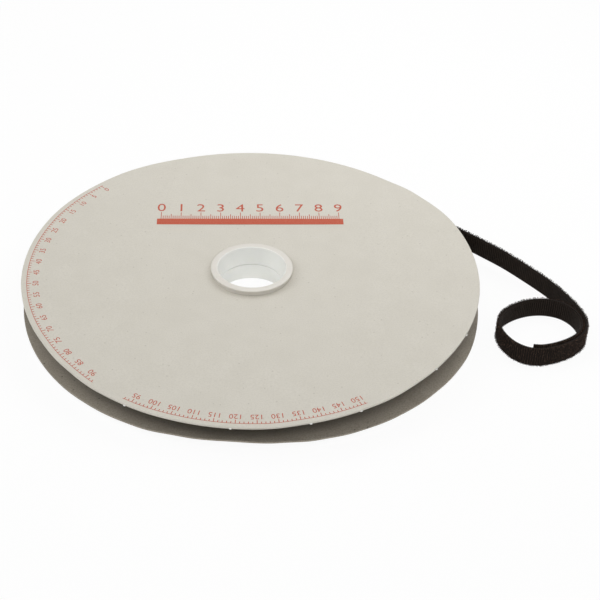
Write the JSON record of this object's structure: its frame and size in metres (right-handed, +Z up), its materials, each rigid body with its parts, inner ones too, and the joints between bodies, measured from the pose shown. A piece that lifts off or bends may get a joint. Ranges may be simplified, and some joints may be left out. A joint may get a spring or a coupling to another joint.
{
  "type": "hook and loop tape roll",
  "caption": "Flat reel of narrow black back-to-back hook and loop tape between two card discs on a snap-together plastic hub, with a looped free end.",
  "frame": {"origin": "on the reel's axis, on the surface that the reel lies on", "axes": "+Z up along the bore; the picture looks along +Y from above, with +X to its right"},
  "size_m": [0.2684, 0.218, 0.019],
  "materials": {
    "white_plastic": "satin white moulded plastic, slightly translucent",
    "flange_card": "warm pale grey uncoated card with fine fibre specks and a grey-brown inner face",
    "core_board": "raw spiral-wound paperboard",
    "adhesive_film": "clear adhesive film",
    "hook_face": "black moulded hooks in fine cross rows",
    "loop_pile": "black brushed loop pile"
  },
  "bodies": {
    "reel": {"hub_lower": "white_plastic", "hub_upper": "white_plastic", "core_tube": "core_board", "start_tab": "adhesive_film", "tape_pack": "loop_pile"},
    "bottom_card": {"bottom_flange": "flange_card"},
    "top_card": {"top_flange": "flange_card"},
    "free_tape": {"tape_outer_turns": "loop_pile", "tail_hook_web": "hook_face", "tail_loop_web": "loop_pile", "loop_hook_web": "hook_face", "loop_loop_web": "loop_pile"},
    "tape_end": {"end_hook_web": "hook_face", "end_loop_web": "loop_pile"}
  },
  "joints": [
    {"name": "bottom_card_turn", "type": "hinge", "parent": "reel", "child": "bottom_card", "pos_m": [0, 0, 0.00345], "axis": [0, 0, -1], "continuous": true},
    {"name": "top_card_turn", "type": "hinge", "parent": "reel", "child": "top_card", "pos_m": [0, 0, 0.01555], "axis": [0, 0, -1], "continuous": true},
    {"name": "tape_unwind", "type": "hinge", "parent": "reel", "child": "free_tape", "pos_m": [0, 0, 0.0095], "axis": [0, 0, 1], "continuous": true},
    {"name": "end_peel", "type": "hinge", "parent": "free_tape", "child": "tape_end", "pos_m": [0.15145, -0.03189, 0.005], "axis": [0, 0, -1], "range_deg": [0, 70]}
  ]
}
